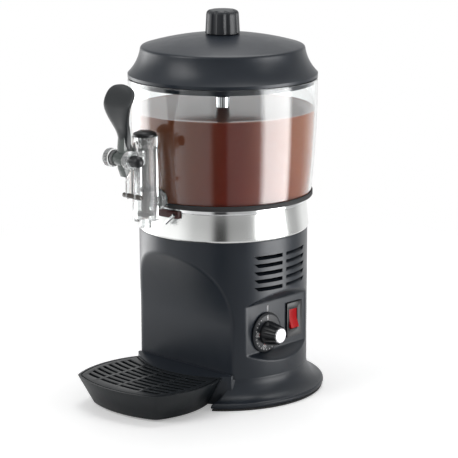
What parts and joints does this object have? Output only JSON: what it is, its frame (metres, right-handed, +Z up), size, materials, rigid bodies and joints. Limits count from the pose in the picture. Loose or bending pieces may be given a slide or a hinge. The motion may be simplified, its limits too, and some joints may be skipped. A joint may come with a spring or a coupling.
{
  "type": "hot chocolate dispenser",
  "caption": "Counter-top heated drink dispenser: clear bowl with stirrer, lift tap with spoon lever, domed lid, round base with dial, rocker switch and drip tray.",
  "frame": {"origin": "on the bowl's axis, in the plane the machine stands on", "axes": "+Z up along the bowl axis, -Y to the front where the tap and the drip tray are, +X to the side with the dial, the switch and the vents"},
  "size_m": [0.2472, 0.3247, 0.465],
  "materials": {
    "casing": "satin charcoal, slightly blue",
    "sheet": "zinc grey",
    "rubber": "matte black",
    "screws": "bright steel",
    "insulation": "pale fibre board",
    "stainless": "polished stainless",
    "bronze": "sintered bronze",
    "chrome": "mirror bright",
    "heater": "dark heating tube",
    "pale_plastic": "off-white",
    "copper": "copper",
    "gear_housing": "cast grey",
    "motor": "dark grey",
    "black_plastic": "satin black",
    "maroon": "dark maroon",
    "steel_pin": "bright steel",
    "clear": "clear plastic",
    "smoked": "smoked grey-brown",
    "lever": "smoked grey-green",
    "satin_cap": "satin silver",
    "red": "red"
  },
  "bodies": {
    "base": {"body_casing": "casing", "base_skirt": "casing", "bottom_cover": "sheet", "foot_ring": "rubber", "cover_screws": "screws", "chassis_plate": "sheet", "plate_screws": "screws", "insulation_disc": "insulation", "water_tank": "stainless", "tank_bush": "bronze", "steel_band": "stainless", "chrome_ring": "chrome", "heating_element": "heater", "safety_cutout": "pale_plastic", "thermostat": "pale_plastic", "thermostat_bulb": "copper", "gearbox": "gear_housing", "motor": "motor", "motor_screws": "screws", "switch_bezel": "black_plastic", "switch_body": "black_plastic", "power_inlet": "black_plastic", "terminal_block": "pale_plastic", "drain_tube": "pale_plastic", "drain_cap": "black_plastic", "latch_plate": "maroon"},
    "drive": {"drive_shaft": "steel_pin"},
    "stirrer": {"stirrer_tube": "chrome", "stirrer_blades": "black_plastic", "stirrer_cap": "black_plastic"},
    "bowl": {"bowl": "clear", "bowl_gasket": "rubber", "chimney_bush": "pale_plastic", "tap_body": "clear", "tap_collar": "clear", "tap_nut": "clear", "tap_seal": "rubber", "stop_pin": "smoked", "pivot_pin": "black_plastic", "pivot_rings": "clear", "pivot_washer": "rubber"},
    "lid": {"lid": "casing", "lid_knob": "black_plastic", "knob_screw": "screws"},
    "piston": {"piston": "smoked", "piston_seals": "rubber", "piston_cap": "black_plastic"},
    "lever": {"lever_body": "lever", "lever_grip": "black_plastic"},
    "dial": {"dial_spindle": "steel_pin", "dial_skirt": "black_plastic", "dial_grip": "black_plastic", "dial_cap": "satin_cap"},
    "rocker": {"rocker_switch": "red"},
    "tray": {"drip_tray": "black_plastic", "tray_pads": "rubber"},
    "grille": {"drip_grille": "black_plastic"},
    "latch": {"latch_peg": "steel_pin"}
  },
  "joints": [
    {"name": "drive_turn", "type": "hinge", "parent": "base", "child": "drive", "pos_m": [0, 0, 0.25], "axis": [0, 0, 1], "continuous": true},
    {"name": "bowl_lift", "type": "slide", "parent": "base", "child": "bowl", "axis": [0, 0, 1], "range_m": [0, 0.16]},
    {"name": "stirrer_turn", "type": "hinge", "parent": "bowl", "child": "stirrer", "pos_m": [0, 0, 0.3], "axis": [0, 0, 1], "continuous": true},
    {"name": "lid_lift", "type": "slide", "parent": "bowl", "child": "lid", "axis": [0, 0, 1], "range_m": [0, 0.12]},
    {"name": "tap_lever", "type": "hinge", "parent": "bowl", "child": "lever", "pos_m": [0, -0.171, 0.3069], "axis": [1, 0, 0], "range_deg": [0, 25]},
    {"name": "tap_piston", "type": "slide", "parent": "bowl", "child": "piston", "axis": [0, 0, 1], "range_m": [0, 0.0162]},
    {"name": "dial_turn", "type": "hinge", "parent": "base", "child": "dial", "pos_m": [0.09, -0.0198, 0.0846], "axis": [1, 0, 0], "range_deg": [-270, 0]},
    {"name": "rocker_press", "type": "hinge", "parent": "base", "child": "rocker", "pos_m": [0.086, 0.028, 0.092], "axis": [0, 1, 0], "range_deg": [0, 20]},
    {"name": "tray_pull", "type": "slide", "parent": "base", "child": "tray", "axis": [0, -1, 0], "range_m": [0, 0.15]},
    {"name": "grille_lift", "type": "slide", "parent": "tray", "child": "grille", "axis": [0, 0, 1], "range_m": [0, 0.08]},
    {"name": "latch_turn", "type": "hinge", "parent": "base", "child": "latch", "pos_m": [0.021, -0.105, 0.2317], "axis": [0, 1, 0], "range_deg": [-70, 0]}
  ],
  "couplings": [
    {"joint": "stirrer_turn", "follows": "drive_turn", "ratio": 1},
    {"joint": "tap_piston", "follows": "tap_lever", "m_per_rad": 0.0368}
  ]
}
